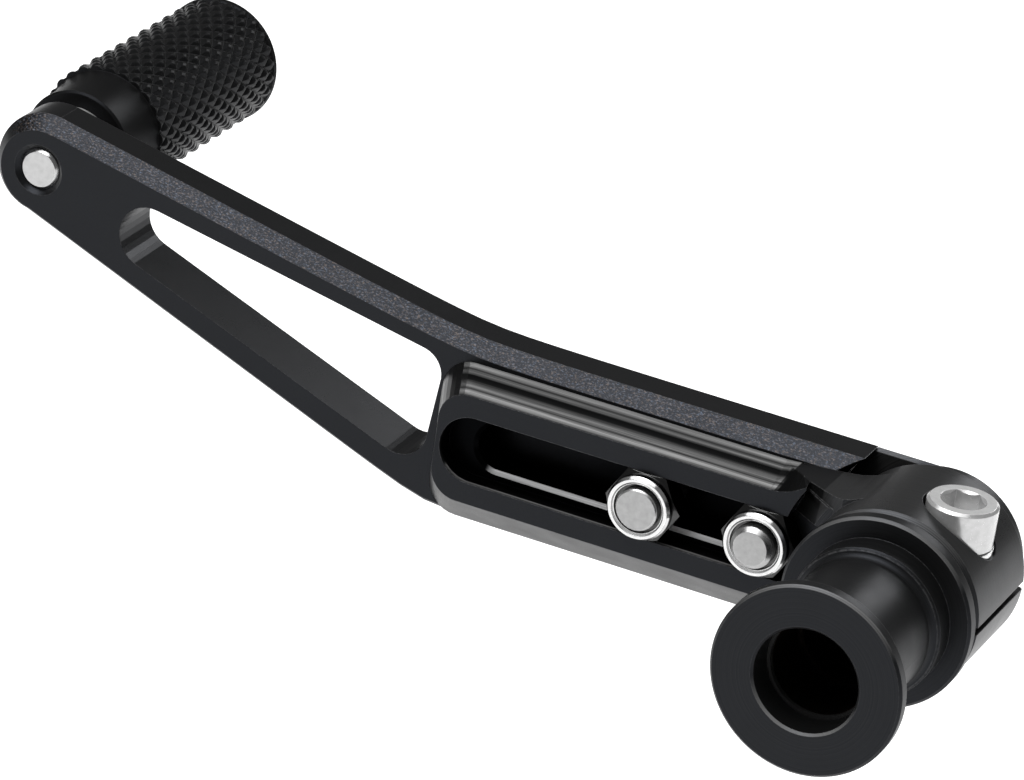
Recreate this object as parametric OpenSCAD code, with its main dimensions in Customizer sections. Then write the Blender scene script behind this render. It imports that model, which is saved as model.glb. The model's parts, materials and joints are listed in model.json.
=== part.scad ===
// Gear shift lever with adjustable length.
// The origin is on the pivot axis (Y) in the plane where the two arms meet (y = 0).
// +Z is up, the toe end points to -X, the toe peg stands out to +Y and the pivot sleeve to -Y.

/* [Toe arm] */
// Thickness of the arm
arm_t = 12.3; // [12:0.1:12.5]
// Height of the arm's top edge above the pivot
arm_top = 15; // [14.8:0.1:15.2]
// Depth of the arm's bottom edge below the pivot
arm_low = 19.1; // [18.8:0.1:19.4]
// Width of the chamfer along the top edges
chamfer_w = 2.8; // [2:0.1:3]
// Slope of the top edge towards the toe, in degrees
top_slope = 11.6; // [11.4:0.01:11.8]
// Slope of the bottom edge towards the toe, in degrees
low_slope = 21.13; // [20.9:0.01:21.4]
// Radius of the rounded toe end
toe_r = 9.5; // [9.3:0.1:9.7]
// Centre of the rounded toe end, along the arm
toe_x = -182.5; // [-183:0.1:-182]
// Centre of the rounded toe end, above the pivot
toe_z = 24; // [23.8:0.1:24.2]
// How far the bends in the two edges are rounded
bend_blend = 1.6; // [1:0.1:3]

/* [Slotted clamp arm] */
// Thickness of the slotted plate
plate_t = 11.7; // [11.5:0.1:12]
// Half height of the plate's front face
plate_half_h = 10.5; // [10.3:0.1:10.8]
// Left end of the plate's front face
plate_left = -91.6; // [-92:0.1:-91.4]
// Left end of the plate's foot, against the toe arm
foot_left = -96.3; // [-97:0.1:-96]
// Top of the plate's foot
foot_top = 11.7; // [11.5:0.1:12]
// Depth of the recess that holds the nuts
recess_depth = 4.4; // [4:0.1:5]
// Half width of the recess
recess_half = 6.45; // [6.45:0.01:6.5]
// Half width of the through slot
slot_half = 4.5; // [4.4:0.05:4.6]
// Length adjustment of the lever
travel = 30; // [20:1:30]

/* [Hub and pivot] */
// Radius of the hub
hub_r = 17.5; // [17.3:0.1:17.6]
// Radius of the sleeve's front flange
flange_r = 17.6; // [17:0.1:18.5]
// Radius of the sleeve's rear flange, against the hub
rear_flange_r = 17.9; // [17.5:0.1:18.5]
// Front face of the hub
hub_front = -21.9; // [-21.9:0.1:-21.5]
// Back edge of the hub's cylinder
hub_back = 4.2; // [3.8:0.1:4.6]
// Bevel round the hub's front edge
hub_bevel = 2.2; // [1.5:0.1:2.5]
// Radius of the sleeve's spigot inside the hub
spigot_r = 8; // [7.8:0.05:8.1]
// Width of the slit that lets the hub close
slit_w = 1.5; // [1.2:0.1:2]
// Front face of the sleeve
sleeve_front = -58; // [-60:0.5:-57]
// Thickness of each sleeve flange
flange_t = 3; // [2.5:0.1:3.1]
// Radius of the sleeve's neck
neck_r = 12.6; // [12.2:0.1:13]
// Radius of the pivot pin the sleeve turns on
pin_r = 9; // [8.9:0.05:9.05]
// Wall of the pivot bushes
bush_wall = 0.59; // [0.5:0.01:0.59]
// Half the angle through which the arm can be set on the sleeve, in degrees
set_angle = 8; // [4:1:8]

/* [Toe peg] */
// Where the peg's axis crosses the arm
peg_x = -182.8; // [-183.2:0.1:-182.4]
peg_z = 23; // [22.8:0.1:23.4]
// Radius of the peg's grip
grip_r = 12.7; // [12:0.1:13]
// Radius of the peg's smooth collar
collar_r = 10.8; // [10.4:0.1:11.2]
// Far end of the peg
peg_end = 75.5; // [72:0.5:78]

/* [Fasteners] */
// Radius of the M8 screws
screw_r = 4; // [4:0.01:4]
// Nut size across its flats
nut_af = 12.7; // [12.5:0.1:12.7]
// Height of the slot nuts
nut_h = 6.7; // [6:0.1:7]
// Where the slot screws stand when the lever is shortest
outer_screw_x = -50.3; // [-50.6:0.1:-50]
inner_screw_x = -27.6; // [-27.8:0.1:-27.4]
// Where the pinch screw stands
pinch_x = 7.7; // [7.6:0.1:7.9]
pinch_y = -9.2; // [-9.4:0.1:-9]
// Top of the pinch screw's head
pinch_top = 18.65; // [18.5:0.05:19]
// Radius of the screws' cylindrical heads
head_r = 6.5; // [6.3:0.1:6.5]

/* [Hidden] */

$fn = 64;
cut = 1;                               // how far a cutting shape runs past what it cuts
run_gap = 0.03;                        // radial clearance of turning and threaded fits
hole_gap = 0.2;                        // radial clearance of screw holes
edge_break = 0.6;                      // small bevel on plain edges

// Toe arm
arm_end_gap = 3.8;                     // from the hub's cylinder to the arm's hollow end
arm_end_r = hub_r + arm_end_gap;
arm_end_x = -8;
end_relief = 1.6;                      // extra clearance of the hollow end at the arm's front face
stations = 36;
toe_face_shift = 1.2;                  // makes the toe chamfer fade towards the underside
toe_face_r = toe_r + toe_face_shift - chamfer_w;
chamfer_rise = chamfer_w;
// The straight top and bottom edges run from the bends to touch the toe end's circle
top_knee_x = toe_x + (toe_z + toe_r / cos(top_slope) - arm_top) / tan(top_slope);
low_knee_x = toe_x + (toe_z - toe_r / cos(low_slope) + arm_low) / tan(low_slope);

// Clamp arm
floor_y = -plate_t + recess_depth;
slot_lip = 0.75;                       // bevel along the slot's front edges
recess_left = -90.7;
recess_right = -18;
slot_left_x = outer_screw_x - travel - slot_half + screw_r + hole_gap;
slot_right_x = inner_screw_x + slot_half - screw_r;
scallop_r = 23.8;                      // clear ring round the hub, cut into the plate
scallop_floor = -7.8;                  // outer edge of the ring's sloping floor
scallop_front = -12.8;                 // where the ring's sloping floor meets the hub
web_left = -28.5;                      // left end of the web's top facet
web_end = [-21.4, -7.2];               // where the facet's slanting edge meets the scallop
web_slope = 0.085;
flare_left = -27;                      // where the plate's front edge starts to curve up
flare_right = -20.3;
flare_rise = 2.6;
flare_steps = 4;
tail_t = arm_t - 0.2;                  // thickness of the hub's tail, behind the toe arm's end
tail_r = (arm_top + arm_low) / 2;
tail_x = -2.3;
tail_z = (arm_top - arm_low) / 2;
tail_face_shift = 1.2;
tail_face_r = tail_r + tail_face_shift - chamfer_w;
tail_gap = 0.1;                        // between the tail and the toe arm's hollow end
tail_front = 8.6;                      // the tail is a thin plate behind the hub
tail_neck_r = 15.2;
foot_corner = 6;
front_corner = 5.5;

// Pinch screw
head_h = 8;
pinch_floor = 9.4;
pinch_washer_t = 1.2;
pinch_bore_r = 7.07;
pinch_tip = -14;

// Sleeve
bore_r = pin_r + bush_wall + 0.01;
bore_floor = -26.5;
shoulder_r = 14.1;
shoulder_front = -30.3;
rear_flange_back = -22;
rim_bevel = 0.5;
spigot_end = 14.6;
ring_groove_y = 12.6;
ring_groove_t = 1.2;
ring_groove_r = 7.5;
retaining_r = 2.2;
notch_half = screw_r + 0.3;            // notch that clears the pinch screw at every set angle
notch_x = pinch_x - notch_half - 0.1;
notch_h = spigot_r + cut;
seal_front = -51.3;
seal_t = 1;
seal_r = pin_r + 0.02;
front_bush_end = -38.3;
rear_bush_start = -36;

// Slot screws
nut_collar_r = 6.15;
nut_collar_h = 1.9;
collar_rim_r = 5.4;
nut_mouth_r = 4.7;
slot_washer_t = 1.6;
slot_washer_r = 7.5;
low_head_h = 5;

// Peg
spacer_end = 14.95;
spacer_r = 8;
peg_start = 15;
collar_end = 21.8;
grip_start = 26;
grip_taper_r = 12.2;
shoulder_screw_r = 6;
bush_bore_r = 7.5;
peg_bevel = 0.7;
peg_pocket_y = 64.5;
peg_pocket_r = 10.2;
end_washer_t = 1.45;
end_washer_gap = 0.05;
bolt_head_y = peg_pocket_y + end_washer_t + 2 * end_washer_gap;
bolt_head_h = 5.95;
bolt_head_r = 9;

black = [0.13, 0.13, 0.14];
steel = [0.78, 0.77, 0.75];
bush_grey = [0.25, 0.24, 0.23];

// ---- helpers ----

// Turns a shape made along Z so that it runs along +Y, at x and z
module along_y(x = 0, z = 0) {
  translate([x, 0, z]) rotate([-90, 0, 0]) children();
}

// Cylinder along Y from y0 to y1
module y_cylinder(r, y0, y1, x = 0, z = 0) {
  along_y(x, z) translate([0, 0, y0]) cylinder(r = r, h = y1 - y0);
}

// Cone along Y from y0 to y1
module y_cone(r0, r1, y0, y1, x = 0, z = 0) {
  along_y(x, z) translate([0, 0, y0]) cylinder(r1 = r0, r2 = r1, h = y1 - y0);
}

// Plain ring along Y
module y_ring(r_out, r_in, y0, y1, x = 0, z = 0) {
  along_y(x, z) rotate_extrude()
    translate([r_in, y0]) square([r_out - r_in, y1 - y0]);
}

// Stadium-shaped slot cutter along X, through y0 to y1, between two end centres
module slot_cutter(half, x0, x1, y0, y1) {
  y_cylinder(half, y0, y1, x0);
  y_cylinder(half, y0, y1, x1);
  translate([x0, y0, -half]) cube([x1 - x0, y1 - y0, 2 * half]);
}

// Bevel round the mouth of such a slot, from its edge at depth y forwards
module slot_bevel(half, x0, x1, y, w) {
  for (x = [x0, x1]) y_cone(half + w, half, y - 0.001, y + w, x);
  translate([x0, 0, 0]) rotate([90, 0, 90]) linear_extrude(x1 - x0)
    polygon([[y - 0.001, -half - w], [y + w, -half], [y + w, half], [y - 0.001, half + w]]);
}

// Hexagonal prism along Z with the given size across its flats
module hexagon(af, h, turn = 0) {
  rotate([0, 0, turn]) cylinder(r = af / 2 / cos(30), h = h, $fn = 6);
}

// Larger of two values, with the corner between them smoothed
function soft_max(a, b, k) = (a + b + sqrt((a - b) * (a - b) + k * k)) / 2;

function top_z(x) = soft_max(arm_top + (top_knee_x - x) * tan(top_slope), arm_top, bend_blend);
function low_z(x) = soft_max((low_knee_x - x) * tan(low_slope) - arm_low, -arm_low, bend_blend);

// ---- toe arm ----

// The eight corners of the arm's section at one station, from the top front edge round
function arm_section(x_top, x_low) = [
  [x_top, 0, top_z(x_top) - chamfer_rise],
  [x_top, chamfer_w, top_z(x_top)],
  [x_top, arm_t - chamfer_w, top_z(x_top)],
  [x_top, arm_t, top_z(x_top) - chamfer_rise],
  [x_low, arm_t, low_z(x_low) + edge_break],
  [x_low, arm_t - edge_break, low_z(x_low)],
  [x_low, edge_break, low_z(x_low)],
  [x_low, 0, low_z(x_low) + edge_break]
];

// The arm between its rounded toe end and the hub, swept through its sections
module arm_bar() {
  x_top0 = toe_x + toe_r * sin(top_slope);
  x_low0 = toe_x - toe_r * sin(low_slope);
  points = [for (i = [0:stations]) each arm_section(
    x_top0 + (arm_end_x - x_top0) * i / stations,
    x_low0 + (arm_end_x - x_low0) * i / stations)];
  sides = [for (i = [0:stations - 1], j = [0:7])
    [8 * i + j, 8 * i + (j + 1) % 8, 8 * i + 8 + (j + 1) % 8, 8 * i + 8 + j]];
  cap = [[0, 3, 2], [0, 2, 1], [0, 4, 3], [0, 7, 4], [7, 5, 4], [7, 6, 5]];
  end_cap = [for (t = cap) [for (j = [2:-1:0]) 8 * stations + t[j]]];
  polyhedron(points, concat(sides, cap, end_cap), convexity = 4);
}

// The rounded toe end, with a chamfer that narrows towards the underside
module toe_round() {
  face_x = toe_x - toe_face_shift * sin(top_slope);
  face_z = toe_z - toe_face_shift * cos(top_slope);
  intersection() {
    y_cylinder(toe_r, 0, arm_t, toe_x, toe_z);
    y_cone(toe_face_r, toe_face_r + arm_t, 0, arm_t, face_x, face_z);
    y_cone(toe_face_r + arm_t, toe_face_r, 0, arm_t, face_x, face_z);
  }
}

// Triangular window with rounded corners
module window_shape() {
  hull() {
    translate([-158.6, 16.1]) circle(r = 6.1, $fn = 32);
    translate([-101.8, 6.6]) circle(r = 5, $fn = 32);
    translate([-103.6, -5.1]) circle(r = 5.6, $fn = 32);
  }
}

module toe_arm() {
  color(black) difference() {
    union() {
      arm_bar();
      toe_round();
    }
    y_cylinder(arm_end_r, -cut, arm_t + cut);
    y_cone(arm_end_r + end_relief, arm_end_r, 0, chamfer_w);
    y_cylinder(arm_end_r + end_relief, -cut, 0);
    translate([0, arm_t + cut, 0]) rotate([90, 0, 0])
      linear_extrude(arm_t + 2 * cut) window_shape();
    y_cylinder(screw_r + hole_gap, -cut, arm_t + cut, outer_screw_x);
    y_cylinder(screw_r + hole_gap, -cut, arm_t + cut, inner_screw_x);
    y_cylinder(screw_r + run_gap, -cut, arm_t + cut, peg_x, peg_z);
    y_cone(screw_r + 2, screw_r, -cut, cut, peg_x, peg_z);
  }
}

// ---- clamp arm ----

// Corner post of the plate, at the plate's foot or at its front face
module plate_post(x, z, r, y) {
  y_cylinder(r, y, y + 0.1, x, z, $fn = 32);
}

// The slotted plate, whose sides lean in from its foot to its front face
module plate_block() {
  foot_x = foot_left + foot_corner;
  front_x = plate_left + front_corner;
  hull() {
    plate_post(foot_x, foot_top - foot_corner, foot_corner, -0.1);
    plate_post(foot_x, foot_corner - arm_low, foot_corner, -0.1);
    translate([-10, -0.1, -arm_low]) cube([9, 0.1, arm_low + foot_top]);
    plate_post(front_x, plate_half_h - front_corner, front_corner, -plate_t);
    plate_post(front_x, front_corner - plate_half_h, front_corner, -plate_t);
    translate([-10, -plate_t, -plate_half_h]) cube([9, 0.1, 2 * plate_half_h]);
  }
}

// Clear ring round the hub, with a sloping floor
module scallop() {
  along_y() rotate_extrude() polygon([
    [0, scallop_front], [hub_r, scallop_front], [scallop_r, scallop_floor], [scallop_r, -2 * plate_t],
    [0, -2 * plate_t]]);
}

// Web between the plate and the hub, with a slanting edge above the scallop
module hub_web() {
  intersection() {
    rotate([90, 0, 0]) linear_extrude(-scallop_front) polygon([
      [web_left, 0], [web_left, foot_top], [-17, foot_top + web_slope * (-17 - web_left)],
      [-14, 13.1], [-11.5, 13.9], [-9, 15], [0, 15], [0, 0]]);
    linear_extrude(hub_r) polygon([
      [web_left, 0], web_end, [-15.4, -11.3], [-13, scallop_front], [0, scallop_front], [0, 0]]);
  }
}

// Flare from the plate's front edge up to the web's slanting edge
module plate_flare() {
  rise = web_slope * (web_end[0] - web_left);
  for (i = [0:flare_steps - 1]) hull() for (k = [i, i + 1]) {
    t = k / flare_steps;
    flare_post(web_left + (web_end[0] - web_left) * t, web_end[1] * t, foot_top + rise * t);
    flare_post(flare_left + (flare_right - flare_left) * t, -plate_t,
               plate_half_h + flare_rise * t * t);
  }
}

// Thin upright post, for the corners of the flare
module flare_post(x, y, z) {
  translate([x, y, 0]) cube([0.02, 0.02, z]);
}

// Hub cylinder with its bevelled front edge
module hub_body() {
  along_y() rotate_extrude() polygon([
    [0, hub_front], [hub_r - hub_bevel, hub_front], [hub_r, hub_front + hub_bevel],
    [hub_r, hub_back - rim_bevel], [hub_r - rim_bevel, hub_back], [0, hub_back]]);
}

// Tail of the hub, a thin plate that carries on the toe arm's outline behind the hub
module hub_tail() {
  face_z = tail_z - tail_face_shift;
  y_cylinder(tail_neck_r, hub_back - cut, tail_front + cut);
  intersection() {
    y_cylinder(arm_end_r - tail_gap, tail_front, tail_t);
    union() {
      intersection() {
        y_cone(tail_r - edge_break, tail_r - edge_break + tail_t, tail_front, tail_front + tail_t,
               tail_x, tail_z);
        y_cylinder(tail_r, tail_front, tail_t, tail_x, tail_z);
        y_cone(tail_face_r + tail_t, tail_face_r, 0, tail_t, tail_x, face_z);
      }
      translate([-arm_end_r, 0, 0]) rotate([90, 0, 90])
        linear_extrude(arm_end_r + tail_x) polygon([
          [tail_front, edge_break - arm_low], [tail_front + edge_break, -arm_low],
          [tail_t - edge_break, -arm_low], [tail_t, edge_break - arm_low],
          [tail_t, arm_top - chamfer_w], [tail_t - chamfer_w, arm_top],
          [tail_front + edge_break, arm_top], [tail_front, arm_top - edge_break]]);
    }
  }
}

module clamp_arm() {
  color(black) difference() {
    union() {
      difference() {
        union() {
          plate_block();
          plate_flare();
        }
        scallop();
      }
      hub_web();
      hub_body();
      hub_tail();
    }
    slot_cutter(recess_half, recess_left + recess_half, recess_right, -plate_t - cut, floor_y);
    slot_cutter(slot_half, slot_left_x, slot_right_x, -plate_t, cut);
    slot_bevel(slot_half, slot_left_x, slot_right_x, floor_y, slot_lip);
    y_cylinder(spigot_r + run_gap, 2 * hub_front, arm_t + cut);
    translate([0, 2 * hub_front, -slit_w / 2]) cube([hub_r + cut, 3 * arm_t - 2 * hub_front, slit_w]);
    translate([pinch_x, pinch_y, pinch_floor]) cylinder(r = pinch_bore_r, h = hub_r);
    translate([pinch_x, pinch_y, 0]) cylinder(r = screw_r + hole_gap, h = hub_r);
    translate([pinch_x, pinch_y, -hub_r - cut]) cylinder(r = screw_r + run_gap, h = hub_r + 2 * cut);
  }
}

// ---- pivot sleeve and what it holds ----

module pivot_sleeve() {
  flange_back = sleeve_front + flange_t;
  rear_flange_front = rear_flange_back - flange_t - 0.1;
  fillet = 1.4;
  color(black) difference() {
    along_y() rotate_extrude() polygon(concat(
      [[retaining_r, spigot_end], [spigot_r - rim_bevel, spigot_end],
       [spigot_r, spigot_end - rim_bevel], [spigot_r, ring_groove_y + ring_groove_t],
       [ring_groove_r, ring_groove_y + ring_groove_t], [ring_groove_r, ring_groove_y],
       [spigot_r, ring_groove_y], [spigot_r, rear_flange_back],
       [rear_flange_r - rim_bevel, rear_flange_back], [rear_flange_r, rear_flange_back - rim_bevel],
       [rear_flange_r, rear_flange_front + rim_bevel], [rear_flange_r - rim_bevel, rear_flange_front],
       [shoulder_r, rear_flange_front], [shoulder_r, shoulder_front + rim_bevel],
       [shoulder_r - rim_bevel, shoulder_front], [neck_r + fillet, shoulder_front]],
      [for (a = [0:15:90]) [neck_r + fillet * (1 - sin(a)), shoulder_front - fillet * (1 - cos(a))]],
      [for (a = [90:-15:0]) [neck_r + fillet * (1 - sin(a)), flange_back + fillet * (1 - cos(a))]],
      [[flange_r - rim_bevel, flange_back], [flange_r, flange_back - rim_bevel],
       [flange_r, sleeve_front + rim_bevel], [flange_r - rim_bevel, sleeve_front],
       [bore_r + 0.45, sleeve_front], [bore_r, sleeve_front + 0.45], [bore_r, bore_floor],
       [retaining_r, bore_floor]]));
    translate([0, pinch_y + notch_half, 0]) rotate([90, 0, 0]) linear_extrude(2 * notch_half)
      polygon([[notch_x, 0], [notch_x - notch_h * tan(set_angle), notch_h], [hub_r, notch_h],
               [hub_r, -notch_h], [notch_x - notch_h * tan(set_angle), -notch_h]]);
  }
}

module bore_seal() {
  color([0.05, 0.05, 0.05]) y_ring(bore_r - 0.01, seal_r, seal_front, seal_front + seal_t);
}

module front_bush() {
  color(bush_grey) y_ring(bore_r - 0.01, pin_r, seal_front + seal_t + 0.05, front_bush_end);
}

module rear_bush() {
  color(bush_grey) y_ring(bore_r - 0.01, pin_r, rear_bush_start, bore_floor);
}

// Open spring ring in the groove at the spigot's end
module spigot_circlip() {
  ring_out = ring_groove_r + 2.6;
  opening = 40;
  color(steel) rotate([0, opening / 2, 0]) along_y() rotate_extrude(angle = 360 - opening)
    translate([ring_groove_r + 0.05, ring_groove_y + 0.05])
      square([ring_out - ring_groove_r, ring_groove_t - 0.1]);
}

// ---- pinch screw ----

// Socket-head screw along Z: head on top, its underside at z = 0, the shank below
module socket_screw(r, length, r_head, h_head, socket_af, socket_d, turn = 0, tip = 0.5) {
  bevel = 0.5;
  difference() {
    rotate_extrude() polygon([
      [0, -length], [r - tip, -length], [r, tip - length], [r, 0], [r_head - bevel / 2, 0],
      [r_head, bevel / 2], [r_head, h_head - bevel], [r_head - bevel, h_head], [0, h_head]]);
    translate([0, 0, h_head - socket_d]) hexagon(socket_af, socket_d + cut, turn);
    translate([0, 0, h_head - bevel]) cylinder(r1 = socket_af / 2, r2 = socket_af / 2 + 2 * bevel,
                                               h = 2 * bevel);
  }
}

module pinch_screw() {
  head_z = pinch_top - head_h;
  color(steel) translate([pinch_x, pinch_y, head_z])
    socket_screw(screw_r, head_z - pinch_tip, head_r, head_h, 7.4, 4, 7);
}

module pinch_washer() {
  color(steel) translate([pinch_x, pinch_y, pinch_floor]) rotate_extrude()
    translate([screw_r + hole_gap, 0]) square([head_r - screw_r, pinch_washer_t]);
}

// ---- slot screws and nuts ----

// Screw from the back of the toe arm, through both arms to the nut
module slot_screw(x, y_tip, tip) {
  head_y = arm_t + slot_washer_t;
  along_y(x) translate([0, 0, head_y])
    socket_screw(screw_r, head_y - y_tip, head_r, low_head_h, 5, 2.8, 0, tip);
}

// Locking nut: a hexagon, its flats along the recess walls, with a round rolled collar in front
module slot_nut(x) {
  corner_r = nut_af / 2 / cos(30);
  slope = tan(30);
  along_y(x) translate([0, 0, floor_y - nut_h]) difference() {
    union() {
      rotate_extrude() polygon([
        [0, 0.35], [collar_rim_r - 0.55, 0.35], [collar_rim_r - 0.25, 0], [collar_rim_r + 0.3, 0],
        [nut_collar_r - 0.35, 0.15], [nut_collar_r, 0.6], [nut_collar_r, nut_collar_h + cut],
        [0, nut_collar_h + cut]]);
      intersection() {
        translate([0, 0, nut_collar_h]) hexagon(nut_af, nut_h - nut_collar_h);
        cylinder(r1 = nut_collar_r - nut_collar_h / slope, r2 = nut_collar_r + nut_h / slope,
                 h = nut_h + nut_collar_h);
        cylinder(r1 = corner_r + nut_h, r2 = corner_r - 0.2, h = nut_h);
      }
    }
    translate([0, 0, -cut]) cylinder(r = screw_r + run_gap, h = nut_h + 2 * cut);
    translate([0, 0, -cut]) cylinder(r = nut_mouth_r, h = cut + 1.2);
  }
}

module slot_washer(x) {
  y_ring(slot_washer_r, screw_r + hole_gap, arm_t, arm_t + slot_washer_t, x);
}

module outer_slot_screw() { color(steel) slot_screw(outer_screw_x, -14.6, 0.3); }
module inner_slot_screw() { color(steel) slot_screw(inner_screw_x, -15.6, 0.8); }
module outer_slot_nut() { color(steel) slot_nut(outer_screw_x); }
module inner_slot_nut() { color(steel) slot_nut(inner_screw_x); }
module outer_slot_washer() { color(steel) slot_washer(outer_screw_x); }
module inner_slot_washer() { color(steel) slot_washer(inner_screw_x); }

// ---- toe peg ----

module toe_peg() {
  color(black) along_y(peg_x, peg_z) rotate_extrude() polygon([
    [bush_bore_r, peg_start], [collar_r - 0.4, peg_start], [collar_r, peg_start + 0.4],
    [collar_r, collar_end], [grip_taper_r, grip_start], [grip_r, grip_start],
    [grip_r, peg_end - peg_bevel], [grip_r - peg_bevel, peg_end], [peg_pocket_r, peg_end],
    [peg_pocket_r, peg_pocket_y], [bush_bore_r, peg_pocket_y]]);
}

// Shoulder screw: thread in the arm, shoulder through the peg, head in the peg's pocket
module peg_bolt() {
  bevel = 0.6;
  tip = 0.3;
  color(steel) along_y(peg_x, peg_z) difference() {
    rotate_extrude() polygon([
      [0, tip], [screw_r - bevel, tip], [screw_r, tip + bevel], [screw_r, arm_t],
      [shoulder_screw_r, arm_t], [shoulder_screw_r, bolt_head_y],
      [bolt_head_r, bolt_head_y], [bolt_head_r, bolt_head_y + bolt_head_h - bevel],
      [bolt_head_r - bevel, bolt_head_y + bolt_head_h], [0, bolt_head_y + bolt_head_h]]);
    translate([0, 0, bolt_head_y + 2]) hexagon(8, bolt_head_h);
  }
}

module peg_spacer() {
  color(steel) y_ring(spacer_r, shoulder_screw_r + 0.05, arm_t, spacer_end, peg_x, peg_z);
}

// One of the two plain bushes pressed into the peg
module peg_bush(y0, y1) {
  color(bush_grey) y_ring(bush_bore_r - 0.01, shoulder_screw_r + run_gap, y0, y1, peg_x, peg_z);
}

module inner_peg_bush() { peg_bush(peg_start + 0.2, peg_start + 15); }
module outer_peg_bush() { peg_bush(peg_pocket_y - 15, peg_pocket_y - 0.2); }

module peg_end_washer() {
  y0 = peg_pocket_y + end_washer_gap;
  color(steel) y_ring(peg_pocket_r - 0.4, shoulder_screw_r + 0.1, y0, y0 + end_washer_t, peg_x, peg_z);
}

toe_arm();
clamp_arm();
pivot_sleeve();
bore_seal();
front_bush();
rear_bush();
spigot_circlip();
pinch_screw();
pinch_washer();
outer_slot_screw();
inner_slot_screw();
outer_slot_nut();
inner_slot_nut();
outer_slot_washer();
inner_slot_washer();
toe_peg();
peg_bolt();
peg_spacer();
inner_peg_bush();
outer_peg_bush();
peg_end_washer();
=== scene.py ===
import json
import math

import bmesh
import bpy
from mathutils import Matrix, Vector


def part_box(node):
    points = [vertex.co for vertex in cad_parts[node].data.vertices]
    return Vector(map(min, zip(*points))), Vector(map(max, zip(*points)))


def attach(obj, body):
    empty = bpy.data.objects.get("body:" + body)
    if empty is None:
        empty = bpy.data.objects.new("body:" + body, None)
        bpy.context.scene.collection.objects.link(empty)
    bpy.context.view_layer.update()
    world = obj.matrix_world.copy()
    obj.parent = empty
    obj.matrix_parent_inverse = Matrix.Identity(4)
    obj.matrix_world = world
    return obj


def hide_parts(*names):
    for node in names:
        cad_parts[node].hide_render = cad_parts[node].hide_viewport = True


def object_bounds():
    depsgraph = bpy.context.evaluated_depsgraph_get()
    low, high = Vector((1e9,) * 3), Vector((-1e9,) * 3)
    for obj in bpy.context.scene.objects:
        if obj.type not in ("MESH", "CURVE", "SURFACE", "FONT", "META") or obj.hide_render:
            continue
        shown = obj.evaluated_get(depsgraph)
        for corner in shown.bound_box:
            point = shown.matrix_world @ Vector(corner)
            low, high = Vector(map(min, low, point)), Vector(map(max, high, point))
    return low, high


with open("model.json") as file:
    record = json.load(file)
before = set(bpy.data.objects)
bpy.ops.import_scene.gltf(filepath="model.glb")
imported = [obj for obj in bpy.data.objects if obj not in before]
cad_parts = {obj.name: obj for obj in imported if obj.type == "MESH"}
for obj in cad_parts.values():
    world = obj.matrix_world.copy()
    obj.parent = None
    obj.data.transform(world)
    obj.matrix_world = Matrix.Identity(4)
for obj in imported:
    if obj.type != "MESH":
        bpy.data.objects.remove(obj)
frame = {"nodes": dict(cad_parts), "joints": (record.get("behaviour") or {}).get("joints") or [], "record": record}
cad_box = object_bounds()
nodes = frame["nodes"]
scene = bpy.context.scene
MM = 0.001

# ---------------------------------------------------------------- node helpers


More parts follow.
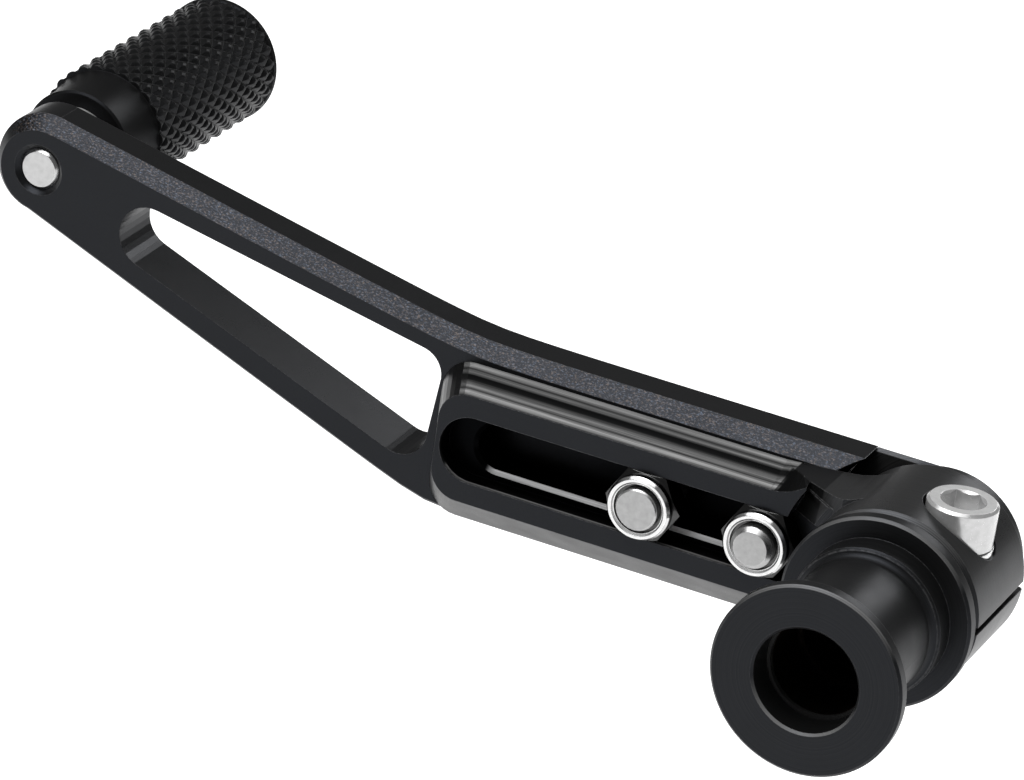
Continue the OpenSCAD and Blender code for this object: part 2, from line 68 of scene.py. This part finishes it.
class Shader:
    """A node material with short calls to add and join nodes."""

    def __init__(self, name):
        self.mat = bpy.data.materials.new(name)
        self.mat.use_nodes = True
        self.tree = self.mat.node_tree
        self.tree.nodes.clear()
        self.out = self.add("ShaderNodeOutputMaterial")

    def add(self, kind, **settings):
        node = self.tree.nodes.new(kind)
        for key, value in settings.items():
            setattr(node, key, value)
        return node

    def link(self, a, b):
        self.tree.links.new(a, b)

    def put(self, socket, value):
        if isinstance(value, bpy.types.NodeSocket):
            self.link(value, socket)
        else:
            socket.default_value = value

    def math(self, op, a, b=None):
        node = self.add("ShaderNodeMath", operation=op)
        self.put(node.inputs[0], a)
        if b is not None:
            self.put(node.inputs[1], b)
        return node.outputs[0]

    def product(self, *values):
        """Product of the values; of masks, 1 only where all are 1."""
        out = values[0]
        for value in values[1:]:
            out = self.math("MULTIPLY", out, value)
        return out

    def remap(self, value, a0, a1, b0, b1):
        node = self.add("ShaderNodeMapRange")
        self.put(node.inputs["Value"], value)
        for key, v in zip(("From Min", "From Max", "To Min", "To Max"), (a0, a1, b0, b1)):
            self.put(node.inputs[key], v)
        return node.outputs[0]

    def between(self, value, a, b, soft=0.04):
        """1 where a < value < b, with soft ends."""
        up = self.remap(value, a - soft, a + soft, 0, 1)
        down = self.remap(value, b - soft, b + soft, 1, 0)
        return self.product(up, down)

    def split(self, vector):
        node = self.add("ShaderNodeSeparateXYZ")
        self.put(node.inputs[0], vector)
        return node.outputs

    def stretched(self, vector, scale):
        node = self.add("ShaderNodeMapping")
        self.put(node.inputs["Vector"], vector)
        node.inputs["Scale"].default_value = scale
        return node.outputs["Vector"]

    def position(self):
        """Object position in mm, and the object normal."""
        tex = self.add("ShaderNodeTexCoord")
        return self.stretched(tex.outputs["Object"], (1 / MM,) * 3), tex.outputs["Normal"]

    def from_axis(self, pos, x, z):
        """Distance in mm from the line along Y through x, z."""
        px, _, pz = self.split(pos)
        dx, dz = self.math("SUBTRACT", px, x), self.math("SUBTRACT", pz, z)
        return self.math("SQRT", self.math("ADD", self.product(dx, dx), self.product(dz, dz)))

    def noise(self, vector, scale, detail=2.0, rough=0.5):
        node = self.add("ShaderNodeTexNoise")
        self.put(node.inputs["Vector"], vector)
        self.put(node.inputs["Scale"], scale)
        self.put(node.inputs["Detail"], detail)
        self.put(node.inputs["Roughness"], rough)
        return node.outputs["Fac"]

    def lines_along(self, pos):
        """Noise that is drawn out into lines along X."""
        return self.noise(self.stretched(pos, (0.02, 1, 1)), 2.6, 4, 0.7)

    def rings_round(self, pos):
        """Noise that is drawn out into rings about the pivot axis."""
        join = self.add("ShaderNodeCombineXYZ")
        self.put(join.inputs[0], self.math("ADD", self.from_axis(pos, 0, 0), self.split(pos)[1]))
        return self.noise(join.outputs[0], 3.5, 4, 0.7)

    def grey(self, value):
        node = self.add("ShaderNodeCombineColor")
        for i in range(3):
            self.put(node.inputs[i], value)
        return node.outputs[0]

    def mix(self, fac, a, b, blend="MIX"):
        node = self.add("ShaderNodeMix", data_type="RGBA", blend_type=blend)
        self.put(node.inputs[0], fac)
        self.put(node.inputs[6], a)
        self.put(node.inputs[7], b)
        return node.outputs[2]

    def times(self, a, b):
        return self.mix(1, a, b, "MULTIPLY")

    def ramp(self, value, stops):
        """Grey ramp through (position, grey) stops."""
        node = self.add("ShaderNodeValToRGB")
        self.put(node.inputs[0], value)
        band = node.color_ramp.elements
        while len(band) < len(stops):
            band.new(0.5)
        for element, (at, v) in zip(band, stops):
            element.position = at
            element.color = (v, v, v, 1)
        return node.outputs[0]

    def bump(self, height, strength, distance, normal):
        node = self.add("ShaderNodeBump")
        self.put(node.inputs["Height"], height)
        self.put(node.inputs["Strength"], strength)
        self.put(node.inputs["Distance"], distance)
        self.put(node.inputs["Normal"], normal)
        return node.outputs["Normal"]

    def edges(self, radius):
        """1 on the object's sharp edges, and the normal with those edges rounded."""
        bevel = self.add("ShaderNodeBevel", samples=6)
        bevel.inputs["Radius"].default_value = radius
        geo = self.add("ShaderNodeNewGeometry")
        dot = self.add("ShaderNodeVectorMath", operation="DOT_PRODUCT")
        self.link(bevel.outputs[0], dot.inputs[0])
        self.link(geo.outputs["Normal"], dot.inputs[1])
        bent = self.math("SUBTRACT", 1, dot.outputs["Value"])
        return self.remap(bent, 0.004, 0.10, 0, 1), bevel.outputs[0]

    def finish(self, colour, metallic, roughness, normal, ior=1.45, tint=None):
        b = self.add("ShaderNodeBsdfPrincipled")
        if tint:
            b.inputs["Specular Tint"].default_value = tint
        self.put(b.inputs["Base Color"], colour)
        self.put(b.inputs["Metallic"], metallic)
        self.put(b.inputs["Roughness"], roughness)
        self.put(b.inputs["IOR"], ior)
        self.put(b.inputs["Normal"], normal)
        self.link(b.outputs[0], self.out.inputs[0])
        return self.mat


# ---------------------------------------------------------------- machining textures and painted light
# Each returns a colour, a height and how deep that height is cut.

FLANK_BACK, FLANK_FRONT = -0.2, -11.7     # mm, y of the plate's upper flank
# Painted reflections: greys across the plate's flank, from its back to its front edge.
FLANK_REFLECTION_GREYS = [(0, 0.16), (0.07, 0.24), (0.18, 0.02), (0.26, 0.14), (0.36, 0), (0.5, 0.004),
               (0.7, 0.16), (0.77, 0.03), (0.87, 0.3), (1, 0.0)]
SPARKLE_DEPTH, CUT_DEPTH = 1.6, 0.7
# Tints of the painted glints on the toe arm's chamfer.
WARM, COLD = (1.35, 1.0, 0.75, 1), (0.75, 0.97, 1.35, 1)


def grit_with_painted_glints(s, pos, low, high):
    """Coarse grit as bumps, coloured with painted glints, faint warm and cold."""
    grit = s.noise(s.stretched(pos, (0.55, 1, 1)), 3.8, 3, 0.75)
    tint = s.mix(s.remap(s.noise(pos, 2.4, 1), 0.35, 0.65, 0, 1), WARM, COLD)
    return s.times(s.grey(s.remap(grit, 0.5, 0.68, low, high)), tint), grit, SPARKLE_DEPTH


def painted_flank_reflections(s, pos, low, high):
    """Painted reflections: the light and dark bands along the flank, each low to high times its grey."""
    across = s.remap(s.split(pos)[1], FLANK_BACK, FLANK_FRONT, 0, 1)
    grit = s.lines_along(pos)
    wave = s.remap(grit, 0.3, 0.7, low, high)
    return s.times(s.ramp(across, FLANK_REFLECTION_GREYS), s.grey(wave)), grit, CUT_DEPTH


def milled(s, pos, low, high):
    grit = s.lines_along(pos)
    return s.grey(s.remap(grit, 0.34, 0.66, low, high)), grit, CUT_DEPTH


def turned(s, pos, low, high):
    grit = s.rings_round(pos)
    return s.grey(s.remap(grit, 0.34, 0.66, low, high)), grit, CUT_DEPTH


# ---------------------------------------------------------------- finishes

DULL = 0.5                # how much of its shine a finely ridged flank loses
PAINTED_SHADE_BLACK = (0.0005, 0.0005, 0.0005, 1)
LOWEST_IOR = 1.06         # where no light is meant to be mirrored
COOL_SHINE = (0.9, 0.96, 1.1, 1)


def anodised(name, zones=(), edge=0.10, base=0.005, rough=0.32, ior=1.27, dark=None):
    """Black anodised aluminium.

    Each zone is (texture, mask, low, high): a texture of grey values low to high where
    mask(shader, position, normal) is 1, machining marks and painted glints, reflections and highlights.
    dark is the mask of places that lie too deep to catch the light, where shade is painted.
    """
    s = Shader(name)
    pos, normal = s.position()
    grain = s.noise(pos, 6, 3, 0.6)
    cloud = s.noise(pos, 0.12, 2, 0.5)
    colour = s.grey(s.remap(grain, 0.3, 0.7, base * 0.6, base * 1.4))
    roughness = s.math("ADD", s.remap(cloud, 0.3, 0.7, rough - 0.03, rough + 0.03),
                       s.remap(grain, 0.3, 0.7, -0.04, 0.04))
    height = s.product(grain, 0.25)
    for texture, mask, low_grey, high_grey in zones:
        m = mask(s, pos, normal)
        textured, grit, depth = texture(s, pos, low_grey, high_grey)
        colour = s.mix(m, colour, textured)
        height = s.math("ADD", height, s.product(grit, m, depth))
    # Sharp edges get dotted grey wear, painted lighter where they face up as a painted highlight.
    sharp_edge, soft = s.edges(0.22 * MM)
    dots = s.remap(s.noise(pos, 1.6, 2, 0.6), 0.38, 0.58, 0.25, 1)
    painted_top_light = s.remap(s.split(normal)[2], -0.3, 0.7, 0.3, 1)
    colour = s.mix(s.product(sharp_edge, dots, painted_top_light), colour, (edge, edge, edge * 1.02, 1))
    # Painted shade: where the dark mask is high the colour turns near black and the shine drops.
    if dark:
        shade = dark(s, pos, normal)
        colour = s.mix(s.remap(shade, DULL, DULL + 0.3, 0, 1), colour, PAINTED_SHADE_BLACK)
        ior = s.remap(shade, 0, 1, ior, LOWEST_IOR)
    return s.finish(colour, 0, roughness, s.bump(height, 0.35, 0.02 * MM, soft), ior, COOL_SHINE)


def stainless(name, base=0.66, rough=0.2, ends=None, shaded=None, metallic=1):
    """Bright steel with fine turning marks; less metallic looks frosted.

    Flat faces square to axis number ends are rougher; behind y = shaded mm it is painted dark as shade.
    """
    s = Shader(name)
    pos, normal = s.position()
    marks = s.noise(s.stretched(pos, (1, 5, 1)), 1.3, 4, 0.7)
    grain = s.noise(pos, 7, 2, 0.6)
    roughness = s.math("ADD", s.remap(marks, 0.3, 0.7, rough - 0.05, rough + 0.05),
                       s.remap(grain, 0.3, 0.7, -0.03, 0.03))
    shade = s.remap(s.noise(pos, 0.9, 3, 0.6), 0.3, 0.7, 0.9, 1.05)
    sharp_edge, soft = s.edges(0.2 * MM)
    value = s.product(s.math("ADD", s.product(sharp_edge, 0.2), base), shade)
    if ends is not None:
        flat = s.remap(s.math("ABSOLUTE", s.split(normal)[ends]), 0.97, 0.995, 0, 1)
        roughness = s.math("ADD", roughness, s.product(flat, 0.25))
    # Painted shade: the colour darkens behind y = shaded.
    if shaded is not None:
        value = s.product(value, s.remap(s.split(pos)[1], shaded, shaded + 0.3, 1, 0.1))
    height = s.math("ADD", marks, s.product(grain, 0.3))
    return s.finish(s.grey(value), metallic, roughness, s.bump(height, 0.15, 0.01 * MM, soft))


def plain(name, colour, metallic, rough, grain_scale):
    """Fine-grained surface for the bushes, the seal and the floor."""
    s = Shader(name)
    pos, _ = s.position()
    grain = s.noise(pos, grain_scale, 3, 0.6)
    dark = [c * 0.8 for c in colour]
    tone = s.mix(s.remap(grain, 0.3, 0.7, 0, 1), (*dark, 1), (*colour, 1))
    roughness = s.remap(grain, 0.3, 0.7, rough - 0.06, rough + 0.06)
    geo = s.add("ShaderNodeNewGeometry")
    return s.finish(tone, metallic, roughness, s.bump(grain, 0.2, 0.02 * MM, geo.outputs["Normal"]))


# ---------------------------------------------------------------- zones
# Masks by place, in mm in the part's frame, and by which way the surface faces. Most limits
# stand a few tenths clear of the edges that they enclose.

peg_spin = next(j for j in frame["joints"] if j["name"] == "peg_spin")
PEG_X, PEG_Z = (peg_spin["pos_m"][i] / MM for i in (0, 2))
BOLT_CLEAR = 6.3                          # no grit nearer to the peg bolt's axis than this
COVER_LEFT = -93                          # nothing to the left of this is darkened
COVER_REACH = 25 * MM                     # how far off a surface still counts as covering

HUB_LEFT = -17.6                          # just left of the hub
HUB_BEVEL_R = 16.0                        # the painted highlight on the hub's front bevel starts here
PLATE_RIGHT = -25.6                       # where the machined look of the plate's flanks stops
PLATE_FACE = -11.5                        # just behind the plate's front face
RECESS_HALF = 6.6                         # just over half the recess's height
RECESS_RIGHT = -26                        # the recess's shade fades out to the right of this
RECESS_SHADE = 0.86
LIP_LEFT, LIP_RIGHT = -82, -25.5          # limits round the bevel along the slot's lower edge
LIP_LOW, LIP_HIGH = -5.4, -3.4
LIP_FRONT, LIP_BACK = -8.4, -5.5
CORNER_LEFT, CORNER_RIGHT, CORNER_LOW = -26.4, -17, 9
CORNER_SLOPE, CORNER_EDGE = 0.92, -27.2   # dark where y + slope x is less than the edge
CORNER_SHADE = 0.75

MOUTH_IN, MOUTH_OUT = 8.8, 10.4           # radii on either side of the bevel at the bore's mouth
FLANGE_RIM = 17.0                         # the flanges' bevelled rims lie beyond this radius
FRONT_BEVEL = (-0.93, -0.35)              # the normal's y on a bevel round a front face


def top_chamfer(s, pos, normal):
    """The toe arm's chamfer along its top edge."""
    nx, ny, nz = s.split(normal)
    away = s.remap(s.from_axis(pos, PEG_X, PEG_Z), BOLT_CLEAR, BOLT_CLEAR + 0.3, 0, 1)
    return s.product(s.between(ny, -0.93, -0.4), s.remap(nz, 0.25, 0.55, 0, 1),
                     s.remap(nx, -0.6, -0.25, 0, 1), away)


def painted_shade_behind_slot(s, pos, normal):
    """Painted shade on the toe arm's front-facing faces where other surfaces lie close, as deep behind the clamp
    arm's slot.
    """
    near = s.add("ShaderNodeAmbientOcclusion", samples=8)
    near.inputs["Distance"].default_value = COVER_REACH
    facing_front = s.remap(s.split(normal)[1], -0.95, -0.9, 1, 0)
    return s.product(facing_front, s.remap(near.outputs["AO"], 0.3, 0.7, 0.95, 0),
                     s.remap(s.split(pos)[0], COVER_LEFT, COVER_LEFT + 1, 0, 1))


def left_of_hub(s, pos):
    return s.remap(s.split(pos)[0], PLATE_RIGHT - 0.2, PLATE_RIGHT, 1, 0)


def plate_flank(s, pos, normal):
    """The plate's upper flank."""
    nx, _, nz = s.split(normal)
    behind_face = s.remap(s.split(pos)[1], PLATE_FACE - 0.1, PLATE_FACE, 0, 1)
    return s.product(s.remap(nz, 0.6, 0.7, 0, 1), s.remap(nx, -0.4, -0.15, 0, 1),
                     left_of_hub(s, pos), behind_face)


def hub_zone(s, pos, normal):
    return s.remap(s.split(pos)[0], HUB_LEFT - 0.2, HUB_LEFT, 0, 1)


def hub_bevel_highlight(s, pos, normal):
    """Painted highlight on the upper part of the bevel round the hub's front edge."""
    _, ny, nz = s.split(normal)
    outside = s.remap(s.from_axis(pos, 0, 0), HUB_BEVEL_R, HUB_BEVEL_R + 0.4, 0, 1)
    return s.product(hub_zone(s, pos, normal), s.between(ny, *FRONT_BEVEL),
                     s.remap(nz, 0.45, 0.75, 0, 1), outside)


def painted_lip_highlight(s, pos, normal):
    """Painted highlight on the bevel along the slot's lower edge."""
    _, ny, nz = s.split(normal)
    px, py, pz = s.split(pos)
    return s.product(s.between(nz, 0.5, 0.9), s.between(ny, -0.9, -0.5),
                     s.between(pz, LIP_LOW, LIP_HIGH, 0.1), s.between(px, LIP_LEFT, LIP_RIGHT, 1),
                     s.between(py, LIP_FRONT, LIP_BACK, 0.2))


def clamp_shade(s, pos, normal):
    """How little light the clamp arm catches: in its recess and slot, in the corner beside the
    hub, and on its finely ridged flanks."""
    _, ny, nz = s.split(normal)
    px, py, pz = s.split(pos)
    inside = s.product(s.between(pz, -RECESS_HALF - 0.2, RECESS_HALF + 0.1, 0.1),
                       s.remap(py, PLATE_FACE + 0.1, PLATE_FACE + 0.9, 0, 1),
                       s.remap(px, RECESS_RIGHT, RECESS_RIGHT + 2, 1, 0))
    off_lip = s.math("SUBTRACT", 1, painted_lip_highlight(s, pos, normal))
    sloped = s.math("ADD", py, s.product(px, CORNER_SLOPE))
    corner = s.product(s.between(px, CORNER_LEFT, CORNER_RIGHT, 0.2),
                       s.remap(pz, CORNER_LOW, CORNER_LOW + 1, 0, 1),
                       s.remap(sloped, CORNER_EDGE, CORNER_EDGE + 0.8, 1, 0),
                       s.remap(ny, -0.95, -0.85, 0, 1))
    flanks = s.math("MAXIMUM", s.remap(nz, -0.5, -0.6, 0, 1), plate_flank(s, pos, normal))
    hidden = s.math("MAXIMUM", s.product(inside, off_lip, RECESS_SHADE),
                    s.product(corner, CORNER_SHADE))
    return s.math("MAXIMUM", hidden, s.product(flanks, left_of_hub(s, pos), DULL))


def sleeve_bevel_highlights(s, pos, normal):
    """Painted highlights on the lower part of the bevel round the mouth of the bore and on the flanges' upper
    rims.
    """
    _, ny, nz = s.split(normal)
    radius = s.from_axis(pos, 0, 0)
    mouth = s.product(s.between(radius, MOUTH_IN, MOUTH_OUT, 0.1), s.remap(nz, 0.15, 0.6, 0, 1))
    rim = s.product(s.remap(radius, FLANGE_RIM, FLANGE_RIM + 0.2, 0, 1),
                    s.remap(nz, 0.35, 0.7, 0, 1))
    return s.product(s.between(ny, *FRONT_BEVEL), s.math("MAXIMUM", mouth, rim))


def everywhere(s, pos, normal):
    return 1


# ---------------------------------------------------------------- materials

FINISH = {"black_anodised": anodised("black_anodised_satin"),
          "stainless": stainless("stainless"),
          "bronze": plain("bronze_bush", (0.05, 0.04, 0.032), 1, 0.4, 4),
          "seal_rubber": plain("seal_rubber", (0.008, 0.008, 0.008), 0, 0.7, 5)}

screw_ends = stainless("stainless_screw_ends", 0.42, 0.3, ends=1)
nut_steel = stainless("stainless_nuts", 0.66, 0.16, shaded=-13.3)
frosted = stainless("stainless_frosted", 0.62, 0.22, ends=2, metallic=0.6)
# Painted light in the zones: glints on the toe arm's chamfer, reflections on the plate's flank, highlights on the
# slot's lip and on the hub's and sleeve's bevels; the dark masks paint shade.
OWN = {
    "toe_arm": anodised("anodised_toe_arm", [(grit_with_painted_glints, top_chamfer, 0.0, 0.15)], dark=painted_shade_behind_slot),
    "clamp_arm": anodised("anodised_clamp_arm", [(painted_flank_reflections, plate_flank, 0.45, 1.55),
                                                 (milled, painted_lip_highlight, 0.4, 0.7),
                                                 (turned, hub_zone, 0.008, 0.03),
                                                 (turned, hub_bevel_highlight, 0.02, 0.16)],
                          edge=0.14, dark=clamp_shade),
    "pivot_sleeve": anodised("anodised_sleeve", [(turned, everywhere, 0.003, 0.010),
                                                 (turned, sleeve_bevel_highlights, 0.05, 0.22)],
                             edge=0.09, rough=0.38),
    "pinch_screw": frosted,
    "peg_spacer": frosted,
    "peg_bolt": stainless("stainless_peg_bolt", 0.5, 0.2, ends=1),
    "outer_slot_nut": nut_steel,
    "inner_slot_nut": nut_steel,
    "outer_slot_screw": screw_ends,
    "inner_slot_screw": screw_ends}

for part in frame["record"]["subparts"]:
    mesh = nodes[part["node"]].data
    mesh.materials.clear()
    mesh.materials.append(OWN.get(part["node"], FINISH[part["material_slot"]]))

# ---------------------------------------------------------------- knurled peg
# Lengths in mm.

KNURL_ROUND = 26          # diamonds round the peg
KNURL_PITCH = 4.95        # along the peg
KNURL_DEPTH = 0.62
KNURL_STEPS = 8           # mesh steps per diamond
KNURL_FLAT = 0.66         # the diamonds' tips are cut flat at this share of their height
GRIP_START = 26.0         # y where the knurl begins
GRIP_RIM = 1.8            # plain rim beyond the knurl
GRIP_BEVEL = 0.7
COLLAR_R, COLLAR_LEN = 11.0, 6.8   # the radius is 0.2 over the CAD collar's
POCKET_R, POCKET_DEPTH = 10.2, 11.0
BUSH_R = 7.5
SMALL_BEVEL = 0.3
SHARP = math.radians(25)  # edges that turn more than this are drawn sharp
AROUND = KNURL_ROUND * KNURL_STEPS


def knurl_height(a, b):
    """Height, 0 to 1, of a diamond knurl at a diamonds round and b diamonds along."""
    u, v = (a + b) % 1, (a - b) % 1
    return min(1 - abs(2 * u - 1), 1 - abs(2 * v - 1), KNURL_FLAT) / KNURL_FLAT


def peg_outline(start, end, grip_r):
    """Rings of (radius, y, 1 where knurled) from the bushes' bore round to the end pocket's floor."""
    span = end - GRIP_RIM - GRIP_START
    rows = round(span / KNURL_PITCH * KNURL_STEPS)
    collar = [(BUSH_R, start, 0), (COLLAR_R - 0.4, start, 0), (COLLAR_R, start + 0.4, 0),
              (COLLAR_R, start + COLLAR_LEN, 0), (grip_r - 0.8, GRIP_START - 0.1, 0)]
    grip = [(grip_r, GRIP_START + span * k / rows, 1) for k in range(rows + 1)]
    rim = [(grip_r - 0.15, end - GRIP_RIM + 0.3, 0), (grip_r, end - GRIP_BEVEL, 0),
           (grip_r - GRIP_BEVEL, end, 0)]
    pocket = [(POCKET_R + SMALL_BEVEL, end, 0), (POCKET_R, end - SMALL_BEVEL, 0),
              (POCKET_R, end - POCKET_DEPTH, 0), (BUSH_R, end - POCKET_DEPTH, 0)]
    return collar + grip + rim + pocket


def peg_ring(bm, axis_x, axis_z, ring):
    """The ring's vertices, and the knurl's height at each."""
    radius, y, knurled = ring
    verts, heights = [], []
    for i in range(AROUND):
        angle = 2 * math.pi * i / AROUND
        height = knurl_height(i / KNURL_STEPS, (y - GRIP_START) / KNURL_PITCH) if knurled else 1
        r = radius - KNURL_DEPTH * (1 - height) * knurled
        verts.append(bm.verts.new(((axis_x + r * math.cos(angle)) * MM, y * MM,
                                   (axis_z + r * math.sin(angle)) * MM)))
        heights.append(height)
    return verts, heights, knurled


def peg_band(bm, near, far):
    """Faces between two rings. A knurled face is split along its flatter diagonal."""
    verts, heights, knurled = near
    far_verts, far_heights, far_knurled = far
    for i in range(AROUND):
        n = (i + 1) % AROUND
        a, b, c, d = verts[i], far_verts[i], far_verts[n], verts[n]
        if not (knurled and far_knurled):
            bm.faces.new((a, b, c, d)).smooth = True
        elif abs(heights[i] - far_heights[n]) < abs(far_heights[i] - heights[n]):
            bm.faces.new((a, b, c))
            bm.faces.new((a, c, d))
        else:
            bm.faces.new((a, b, d))
            bm.faces.new((b, c, d))


def knurled_peg():
    low, high = (Vector(v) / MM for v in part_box("toe_peg"))
    axis_x, axis_z = (high.x + low.x) / 2, (high.z + low.z) / 2
    outline = peg_outline(low.y, high.y, (high.x - low.x) / 2)
    bm = bmesh.new()
    rings = [peg_ring(bm, axis_x, axis_z, ring) for ring in outline]
    for near, far in zip(rings, rings[1:] + rings[:1]):
        peg_band(bm, near, far)
    bmesh.ops.recalc_face_normals(bm, faces=bm.faces)
    for e in bm.edges:
        if len(e.link_faces) == 2 and e.calc_face_angle(0) > SHARP:
            e.smooth = False
    mesh = bpy.data.meshes.new("knurled_toe_peg")
    bm.to_mesh(mesh)
    bm.free()
    mesh.materials.append(anodised("anodised_peg", edge=0.02, base=0.006, rough=0.36, ior=1.17))
    obj = bpy.data.objects.new("knurled_toe_peg", mesh)
    scene.collection.objects.link(obj)
    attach(obj, "peg")
    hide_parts("toe_peg")


knurled_peg()

# ---------------------------------------------------------------- stage
# Lengths in metres.

FLOOR_DROP = 0.08         # the lever is shown held above the floor
FLOOR_SIZE = 12
FLOOR_GLOW, WORLD_GLOW = 0.6, 0.17
WHITE = (1, 1, 1, 1)


def floor():
    mat = plain("floor_white", (0.92, 0.92, 0.92), 0, 0.9, 0.05)
    bsdf = next(n for n in mat.node_tree.nodes if n.type == "BSDF_PRINCIPLED")
    bsdf.inputs["Emission Color"].default_value = WHITE
    bsdf.inputs["Emission Strength"].default_value = FLOOR_GLOW
    h, z = FLOOR_SIZE / 2, cad_box[0].z - FLOOR_DROP
    mesh = bpy.data.meshes.new("floor")
    mesh.from_pydata([(-h, -h, z), (h, -h, z), (h, h, z), (-h, h, z)], [], [(0, 1, 2, 3)])
    mesh.materials.append(mat)
    obj = bpy.data.objects.new("floor", mesh)
    scene.collection.objects.link(obj)


def light(name, kind, power, aim, **settings):
    """A light that shines along aim."""
    data = bpy.data.lights.new(name, kind)
    data.energy = power
    for key, value in settings.items():
        setattr(data, key, value)
    obj = bpy.data.objects.new(name, data)
    scene.collection.objects.link(obj)
    obj.rotation_euler = aim.to_track_quat("-Z", "Y").to_euler()
    return obj


def area_light(name, where, target, width, depth, power):
    obj = light(name, "AREA", power, Vector(target) - Vector(where),
                shape="RECTANGLE", size=width, size_y=depth)
    obj.location = where


floor()
world = bpy.data.worlds.new("studio")
scene.world = world
world.use_nodes = True
world.node_tree.nodes["Background"].inputs[0].default_value = WHITE
world.node_tree.nodes["Background"].inputs[1].default_value = WORLD_GLOW
area_light("softbox_top", (-0.35, -0.35, 0.9), (-0.09, 0, 0), 0.6, 0.6, 5)
area_light("card_back", (0.12, 0.9, 0.55), (0, 0, 0), 0.4, 0.45, 2.2)
light("wide_light", "SUN", 1.6, Vector((0.25, 0.2, -1)), angle=math.radians(70))

# ---------------------------------------------------------------- camera

AZIMUTH, ELEVATION, ROLL = (math.radians(v) for v in (20.98, 23.89, 8.42))
SENSOR_MM, LENS_MM = 36, 211.7
CAMERA_AT = Vector((276.2, -935.9, 452.6)) * MM

back = Vector((math.sin(AZIMUTH) * math.cos(ELEVATION), -math.cos(AZIMUTH) * math.cos(ELEVATION),
               math.sin(ELEVATION)))
level = Vector((math.cos(AZIMUTH), math.sin(AZIMUTH), 0))
rise = back.cross(level)
right = level * math.cos(ROLL) + rise * math.sin(ROLL)
up = rise * math.cos(ROLL) - level * math.sin(ROLL)
camera = bpy.data.objects.new("camera", bpy.data.cameras.new("camera"))
scene.collection.objects.link(camera)
camera.data.sensor_width = SENSOR_MM
camera.data.lens = LENS_MM
camera.data.clip_end = 20
camera.matrix_world = Matrix.Translation(CAMERA_AT) @ Matrix((right, up, back)).transposed().to_4x4()
scene.camera = camera
scene.view_settings.view_transform = "Standard"
scene.view_settings.look = "None"
